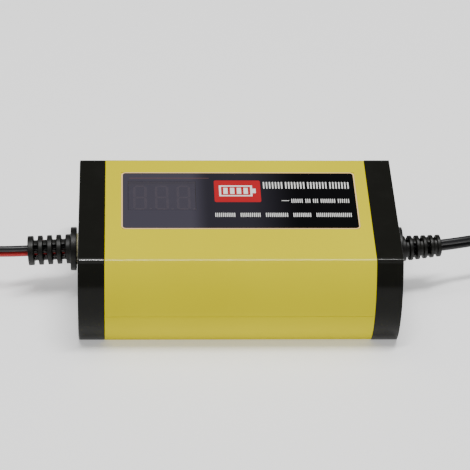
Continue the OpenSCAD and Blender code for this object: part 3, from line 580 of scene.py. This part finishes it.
def make_leads():
    """Both leads from inside their strain reliefs to their far ends, and the output lead's two tails."""
    dc_coil = coil_turns(-130 * MM, 23 * MM, DC_WIDTH, 1)
    dc_line = eased(metres(DC_RUN), after=dc_coil[3])[:-1] + dc_coil[:-1]
    dc_line += eased(metres(DC_END), before=dc_coil[-4])
    lead = place("output_lead", swept("output_lead", dc_line, twin_section(DC_CORE), 1),
                 [LEAD_BLACK, LEAD_RED],
                 replaced=("dc_lead_run", "dc_lead_coil", "dc_lead_end"))
    sleeve = place("split_sleeve", remoulded("dc_split_sleeve", 0.25 * MM), RELIEF,
                   replaced=("dc_split_sleeve",))
    ac_coil = coil_turns(128 * MM, 25 * MM, AC_WIDTH, -1)
    ac_line = eased(metres(AC_RUN), after=ac_coil[3])[:-1] + ac_coil[:-1]
    ac_line += eased(metres(AC_TAIL), before=ac_coil[-4])
    mains = place("mains_lead", swept("mains_lead", ac_line, twin_section(AC_CORE)),
                  LEAD_BLACK,
                  replaced=("ac_lead_run", "ac_lead_coil", "ac_lead_tail"))
    plug = place("plug", softened("plug_body", 1.6 * MM, 4), PLUG, replaced=("plug_body",))
    for colour, route, material in (("red", RED_ROUTE, LEAD_RED), ("black", BLACK_ROUTE, LEAD_BLACK)):
        line = eased(metres(route))
        tail = place(f"{colour}_tail_core", swept(f"{colour}_tail_core", line, round_section(DC_CORE)),
                     material, replaced=(f"{colour}_tail",))
        pieces = clip_pieces(colour)


# ---------------------------------------------------------------- spring clips

def wound_spring_tree():
    """Geometry Nodes: a wire wound into a close coil, from its turns, radius, height and wire size."""
    tree = bpy.data.node_groups.new("wound_spring", "GeometryNodeTree")
    names = ("Turns", "Radius", "Height", "Wire radius")
    for name in names:
        tree.interface.new_socket(name, in_out="INPUT", socket_type="NodeSocketFloat")
    tree.interface.new_socket("Finish", in_out="INPUT", socket_type="NodeSocketMaterial")
    tree.interface.new_socket("Geometry", in_out="OUTPUT", socket_type="NodeSocketGeometry")
    add, join = tree.nodes.new, tree.links.new
    given = add("NodeGroupInput")
    spiral = add("GeometryNodeCurveSpiral")
    spiral.inputs["Resolution"].default_value = 28
    for ours, theirs in (("Turns", "Rotations"), ("Radius", "Start Radius"), ("Radius", "End Radius"),
                         ("Height", "Height")):
        join(given.outputs[ours], spiral.inputs[theirs])
    circle = add("GeometryNodeCurvePrimitiveCircle")
    circle.inputs["Resolution"].default_value = 10
    join(given.outputs["Wire radius"], circle.inputs["Radius"])
    wire = add("GeometryNodeCurveToMesh")
    wire.inputs["Fill Caps"].default_value = True
    join(spiral.outputs[0], wire.inputs["Curve"])
    join(circle.outputs[0], wire.inputs["Profile Curve"])
    realize = add("GeometryNodeRealizeInstances")
    join(wire.outputs[0], realize.inputs[0])
    paint = add("GeometryNodeSetMaterial")
    join(realize.outputs[0], paint.inputs["Geometry"])
    join(given.outputs["Finish"], paint.inputs["Material"])
    join(paint.outputs[0], add("NodeGroupOutput").inputs[0])
    return tree


def ring_of_loops_tree():
    """Geometry Nodes: wire loops set round an arc, for the turns on a ring core."""
    tree = bpy.data.node_groups.new("ring_of_loops", "GeometryNodeTree")
    tree.interface.new_socket("Count", in_out="INPUT", socket_type="NodeSocketInt")
    for name in ("Ring radius", "Start", "Sweep", "Loop radius", "Wire radius"):
        tree.interface.new_socket(name, in_out="INPUT", socket_type="NodeSocketFloat")
    tree.interface.new_socket("Finish", in_out="INPUT", socket_type="NodeSocketMaterial")
    tree.interface.new_socket("Geometry", in_out="OUTPUT", socket_type="NodeSocketGeometry")
    add, join = tree.nodes.new, tree.links.new
    given = add("NodeGroupInput")
    arc = add("GeometryNodeCurveArc")
    join(given.outputs["Count"], arc.inputs["Resolution"])
    join(given.outputs["Ring radius"], arc.inputs["Radius"])
    join(given.outputs["Start"], arc.inputs["Start Angle"])
    join(given.outputs["Sweep"], arc.inputs["Sweep Angle"])
    points = add("GeometryNodeCurveToPoints")
    points.mode = "EVALUATED"
    join(arc.outputs[0], points.inputs[0])
    loop = add("GeometryNodeCurvePrimitiveCircle")
    loop.inputs["Resolution"].default_value = 20
    join(given.outputs["Loop radius"], loop.inputs["Radius"])
    section = add("GeometryNodeCurvePrimitiveCircle")
    section.inputs["Resolution"].default_value = 8
    join(given.outputs["Wire radius"], section.inputs["Radius"])
    wire = add("GeometryNodeCurveToMesh")
    join(loop.outputs[0], wire.inputs["Curve"])
    join(section.outputs[0], wire.inputs["Profile Curve"])
    stand = add("GeometryNodeInstanceOnPoints")
    join(points.outputs["Points"], stand.inputs["Points"])
    join(wire.outputs[0], stand.inputs["Instance"])
    join(points.outputs["Rotation"], stand.inputs["Rotation"])
    realize = add("GeometryNodeRealizeInstances")
    join(stand.outputs[0], realize.inputs[0])
    paint = add("GeometryNodeSetMaterial")
    join(realize.outputs[0], paint.inputs["Geometry"])
    join(given.outputs["Finish"], paint.inputs["Material"])
    join(paint.outputs[0], add("NodeGroupOutput").inputs[0])
    return tree


def grown(tree, values, at=Matrix.Identity(4)):
    """The plain mesh that a Geometry Nodes tree makes from these inputs, moved into place."""
    holder = bpy.data.objects.new("holder", bpy.data.meshes.new("seed"))
    bpy.context.scene.collection.objects.link(holder)
    made = holder.modifiers.new("grow", "NODES")
    made.node_group = tree
    for item in tree.interface.items_tree:
        if item.in_out == "INPUT" and item.name in values:
            made[item.identifier] = values[item.name]
    bpy.context.view_layer.update()
    mesh = bpy.data.meshes.new_from_object(holder.evaluated_get(bpy.context.evaluated_depsgraph_get()))
    holder.modifiers.remove(made)
    bpy.data.objects.remove(holder)
    mesh.transform(at)
    smooth(mesh, 60)
    return mesh


SPRING_TREE = wound_spring_tree()
LOOPS_TREE = ring_of_loops_tree()
CLIP_GRIP = {"red": GRIP_RED, "black": GRIP_BLACK}


def joined(name, meshes):
    """Several meshes made one, each face keeping its material index."""
    work = bmesh.new()
    for mesh in meshes:
        work.from_mesh(mesh)
    whole = bpy.data.meshes.new(name)
    work.to_mesh(whole)
    work.free()
    smooth(whole, 45)
    return whole


def clip_spring(colour, arm):
    """A clip's torsion spring: its coil round the pin, and a leg under each handle that goes with it."""
    low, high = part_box(f"{colour}_pin")
    at = Vector((low[k] + high[k]) / 2 for k in range(3))
    wire, radius, turns = 0.38 * MM, 2.5 * MM, 5
    tall = turns * 0.78 * MM
    coil = grown(SPRING_TREE, {"Turns": turns, "Radius": radius, "Height": tall, "Wire radius": wire,
                               "Finish": NICKEL}, Matrix.Translation(at - Vector((0, 0, tall / 2))))
    outer = 1 if at.y > 0 else -1
    legs = {}
    for side in (-outer, outer):
        start = at + Vector((0, side * radius, side * tall / 2))
        end = at + Vector((-11 * MM, side * 4.2 * MM, side * tall / 2))
        legs[side] = swept("leg", [start, start.lerp(end, 0.5), end], round_section(2 * wire, 8))
    place(f"{colour}_spring_leg", legs[outer], NICKEL, arm)
    return place(f"{colour}_clip_spring", joined("coil", [coil, legs[-outer]]), [], BODY,
                 (f"{colour}_spring",))


def clip_pieces(colour):
    """A clip's steel arms, grips and spring; the moving arm's pieces ride on the clip's own body."""
    arm = f"{colour}_clip_arm"
    on_lead = [nodes[f"{colour}_pin"]]
    for half, body in (("fixed", BODY), ("moving", arm)):
        jaw = place(f"{colour}_{half}_steel", softened(f"{colour}_{half}_jaw", 0.16 * MM, 2), NICKEL, body,
                    (f"{colour}_{half}_jaw",))
        grip = place(f"{colour}_{half}_sleeve", remoulded(f"{colour}_{half}_grip", 0.22 * MM, 14),
                     CLIP_GRIP[colour], body, (f"{colour}_{half}_grip",))
        if body == BODY:
            on_lead += [jaw, grip]
    return [*on_lead, clip_spring(colour, arm)]


make_leads()


# ---------------------------------------------------------------- casing and caps

def near(value, target, within=0.06 * MM):
    return abs(value - target) < within


def along_ridge(a, b):
    return all(near(abs(p.y), RIDGE_Y, 0.3 * MM) and (near(p.z, CASE_TOP) or near(p.z, 0)) for p in (a, b))


def shell_rule(a, b):
    """Full rounding along the casing's long ridges, and a small break on the joints round each shell."""
    if along_ridge(a, b):
        return 1.0
    if all(near(abs(p.x), CAP_JOINT_X) for p in (a, b)):
        return 0.22
    if all(near(p.z, SHELL_JOINT_Z) for p in (a, b)):
        return 0.2
    return 0.0


def cap_rule(a, b):
    """As the shells, with the end face's rim rounded too."""
    if along_ridge(a, b):
        return 1.0
    if all(near(abs(p.x), CASE_END_X) for p in (a, b)):
        off_the_hole = all(math.hypot(p.y, p.z - MID_Z) > 12 * MM for p in (a, b))
        rim = all(abs(p.y) > RIDGE_Y - 0.3 * MM or near(p.z, CASE_TOP) or near(p.z, 0) for p in (a, b))
        return 0.9 if off_the_hole and rim else 0.15
    if all(near(abs(p.x), CAP_JOINT_X) for p in (a, b)):
        return 0.22
    return 0.0


RIDGE_ROUND = 1.0 * MM
for name, node, rule, material, slot in (
        ("casing_top", "upper_shell", shell_rule, YELLOW, "casing_yellow"),
        ("casing_base", "lower_shell", shell_rule, YELLOW, "casing_yellow"),
        ("output_cap", "dc_end_cap", cap_rule, CAP, "cap_black"),
        ("mains_cap", "ac_end_cap", cap_rule, CAP, "cap_black")):
    place(name, softened(node, RIDGE_ROUND, 4, rule), material, replaced=(node,))
for side, name in (("dc", "output_relief"), ("ac", "mains_relief")):
    place(name, remoulded(f"{side}_strain_relief", 0.17 * MM, 3), RELIEF,
          replaced=(f"{side}_strain_relief",))
for side in ("dc", "ac"):
    place(f"{side}_coil_tie", remoulded(f"{side}_lead_tie", 0.2 * MM, 3), TIE,
          replaced=(f"{side}_lead_tie",))


# ---------------------------------------------------------------- label print and display figures

PRINT_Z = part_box("label_overlay")[1][2]
PRINT_T = 0.02 * MM


def flat_shapes(name, outlines, z, thickness):
    """Thin closed plates, one for each outline of (x, y) corners, standing on a height."""
    work = bmesh.new()
    for outline in outlines:
        low = [work.verts.new((x, y, z)) for x, y in outline]
        high = [work.verts.new((x, y, z + thickness)) for x, y in outline]
        work.faces.new(low[::-1])
        work.faces.new(high)
        for k in range(len(outline)):
            n = (k + 1) % len(outline)
            work.faces.new((low[k], low[n], high[n], high[k]))
    bmesh.ops.recalc_face_normals(work, faces=work.faces)
    mesh = bpy.data.meshes.new(name)
    work.to_mesh(mesh)
    work.free()
    return mesh


def bar(x0, x1, y0, y1, corner=0.0):
    """A rectangle's corners, each rounded by a short arc where a corner radius is given."""
    if not corner:
        return [(x0, y0), (x1, y0), (x1, y1), (x0, y1)]
    outline = []
    for cx, cy, start in ((x1, y0, -90), (x1, y1, 0), (x0, y1, 90), (x0, y0, 180)):
        mx = cx - math.copysign(corner, cx - (x0 + x1) / 2)
        my = cy - math.copysign(corner, cy - (y0 + y1) / 2)
        for k in range(5):
            a = math.radians(start + 22.5 * k)
            outline.append((mx + corner * math.cos(a), my + corner * math.sin(a)))
    return outline


def ticks(x0, x1, y, height, weight, groups, gap=1.0 * MM):
    """A row of plain upright ticks in groups, like a meter's graduations: print that spells nothing."""
    share = ((x1 - x0) - gap * (len(groups) - 1)) / sum(groups)
    made = []
    x = x0
    for group in groups:
        end = x + share * group
        count = max(2, round((end - x) / (2.1 * weight)))
        pitch = (end - x - weight) / (count - 1)
        made += [bar(x + k * pitch, x + k * pitch + weight, y, y + height) for k in range(count)]
        x = end + gap
    return made


def battery_icon():
    """A plain battery: its outline, its terminal and four level bars."""
    low_x, high_x, low_y, high_y, line = -6.2 * MM, 5.4 * MM, 7.0 * MM, 13.4 * MM, 0.7 * MM
    shapes = [bar(low_x, high_x, y, y + line) for y in (low_y, high_y - line)]
    shapes += [bar(x, x + line, low_y + line, high_y - line) for x in (low_x, high_x - line)]
    shapes.append(bar(high_x, high_x + 1.2 * MM, 8.9 * MM, 11.5 * MM))
    for k in range(4):
        x = low_x + 1.5 * MM + k * 2.35 * MM
        shapes.append(bar(x, x + 1.5 * MM, low_y + 1.4 * MM, high_y - 1.4 * MM))
    return shapes


def make_print():
    """A red block with the battery on it, three rows of ticks, and a dull red line over the window."""
    red = bar(-7.9 * MM, 8.3 * MM, 3.6 * MM, 16.4 * MM, 0.7 * MM)
    place("label_red_block", flat_shapes("label_red_block", [red], PRINT_Z, PRINT_T), PRINT_RED)
    place("label_battery_icon", flat_shapes("label_battery_icon", battery_icon(), PRINT_Z + PRINT_T, PRINT_T),
          PRINT_WHITE)
    lines = ticks(9.3 * MM, 39.4 * MM, 11.6 * MM, 3.9 * MM, 0.46 * MM, (7, 7, 7, 7))
    lines += [bar(15.4 * MM, 18.0 * MM, 4.3 * MM, 4.6 * MM)]
    lines += ticks(18.8 * MM, 38.9 * MM, 3.2 * MM, 2.3 * MM, 0.3 * MM, (7, 3, 3, 9, 7))
    lines += ticks(-7.9 * MM, 39.2 * MM, -5.0 * MM, 2.3 * MM, 0.3 * MM, (9, 9, 10, 8, 16), 1.9 * MM)
    glow = [bar(-37.4 * MM, -9.6 * MM, 17.7 * MM, 17.85 * MM)]
    place("label_window_line", flat_shapes("label_window_line", glow, PRINT_Z, PRINT_T),
          moulded("print_dull_red", (0.20, 0.085, 0.075), 0.2, scuffs=0.1))
    place("label_lines", flat_shapes("label_lines", lines, PRINT_Z, PRINT_T), PRINT_WHITE)


def segment(x, y, length, thick, upright):
    """One bar of a figure: a long hexagon."""
    h, t = length / 2, thick / 2
    shape = [(-h, 0), (-h + t, -t), (h - t, -t), (h, 0), (h - t, t), (-h + t, t)]
    return [(x - b, y + a) if upright else (x + a, y + b) for a, b in shape]


DIGIT_PITCH = 7.6 * MM
DIGIT_LIFT = 1.2 * MM      # towards the back, where the display has room for it
DOT_X = 3.7 * MM
DOT = 0.5 * MM


def make_figures():
    """The display's three unlit figures and their points, a little paler than the block they are in."""
    low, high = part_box("led_display")
    wide, tall, thick = 4.8 * MM, 14.2 * MM, 0.9 * MM
    room = (high[1] - low[1] - tall) / 2 - 0.2 * MM
    middle_x = (low[0] + high[0]) / 2
    middle_y = (low[1] + high[1]) / 2 + max(0.0, min(DIGIT_LIFT, room))
    bars = []
    for digit in (-1, 0, 1):
        x = middle_x + digit * DIGIT_PITCH
        for k in (-1, 0, 1):
            bars.append(segment(x, middle_y + k * (tall - thick) / 2, wide - 1.3 * thick, thick, False))
            if k:
                for m in (-1, 1):
                    bars.append(segment(x + m * (wide - thick) / 2, middle_y + k * (tall - thick) / 4,
                                        (tall - thick) / 2 - 0.2 * MM, thick, True))
        dot_y = middle_y - tall / 2 + DOT
        bars.append([(x + DOT_X + DOT * math.cos(a), dot_y + DOT * math.sin(a))
                     for a in (math.pi * k / 6 for k in range(12))])
    place("display_figures", flat_shapes("display_figures", bars, high[2], 0.05 * MM),
          moulded("figure_grey", (0.85, 0.60, 0.50), 0.4))


def label_rule(a, b):
    """Rounds the film's four upright corners."""
    low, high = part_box("label_overlay")
    upright = near(a.x, b.x) and near(a.y, b.y)
    corner = min(abs(a.x - low[0]), abs(a.x - high[0])) + min(abs(a.y - low[1]), abs(a.y - high[1]))
    return 1.0 if upright and corner < 0.1 * MM else 0.0


place("label_film", softened("label_overlay", LABEL_CORNER, 5, label_rule), label_black(),
      replaced=("label_overlay",))
make_print()
make_figures()


# ---------------------------------------------------------------- choke

def make_choke():
    """The choke's two windings, turn by turn, round its ring core."""
    low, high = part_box("choke_core")
    at = Vector((low[k] + high[k]) / 2 for k in range(3))
    stand = Matrix.Translation(at) @ Matrix.Rotation(math.radians(90), 4, "Y")
    halves = [grown(LOOPS_TREE, {"Count": 13, "Ring radius": 5.5 * MM, "Start": math.radians(start),
                                 "Sweep": math.radians(132), "Loop radius": 3.1 * MM,
                                 "Wire radius": 0.42 * MM, "Finish": COPPER}, stand)
              for start in (24, 204)]
    place("choke_turns", joined("choke_turns", halves), [],
          replaced=("choke_windings",))


make_choke()


# ---------------------------------------------------------------- floor and light

def make_studio():
    """A pale floor, a white world and three soft area lamps, given as place, size and power."""
    floor_mesh = bpy.data.meshes.new("floor")
    reach = 6
    floor_mesh.from_pydata([(-reach, -reach, 0), (reach, -reach, 0), (reach, reach, 0), (-reach, reach, 0)],
                           [], [(0, 1, 2, 3)])
    floor = bpy.data.objects.new("floor", floor_mesh)
    bpy.context.scene.collection.objects.link(floor)
    finish = Finish("pale_floor")
    finish.set(Base_Color=finish.mix(finish.noise(6, 2), (0.90, 0.90, 0.90), (0.92, 0.92, 0.92)),
               Roughness=0.9, Specular_IOR_Level=0.1, Emission_Color=(1, 1, 1), Emission_Strength=0.4)
    floor_mesh.materials.append(finish.material)
    floor.location.z = -0.0002
    world = bpy.data.worlds.new("studio")
    world.use_nodes = True
    world.node_tree.nodes["Background"].inputs[0].default_value = (1, 1, 1, 1)
    world.node_tree.nodes["Background"].inputs[1].default_value = 0.2
    bpy.context.scene.world = world
    for name, where, size, power in (("overhead", (0.0, 0.05, 1.1), (0.9, 0.7), 6.5),
                                     ("strip", (0.05, -0.1, 1.0), (0.6, 0.03), 8),
                                     ("front", (-0.35, -1.0, 0.9), (0.7, 0.7), 0.2)):
        data = bpy.data.lights.new(name, "AREA")
        data.shape = "RECTANGLE"
        data.size, data.size_y = size
        data.energy = power
        lamp = bpy.data.objects.new(name, data)
        bpy.context.scene.collection.objects.link(lamp)
        lamp.location = where
        lamp.rotation_mode = "QUATERNION"
        lamp.rotation_quaternion = (Vector((0, 0, 0.02)) - Vector(where)).to_track_quat("-Z", "Y")


make_studio()
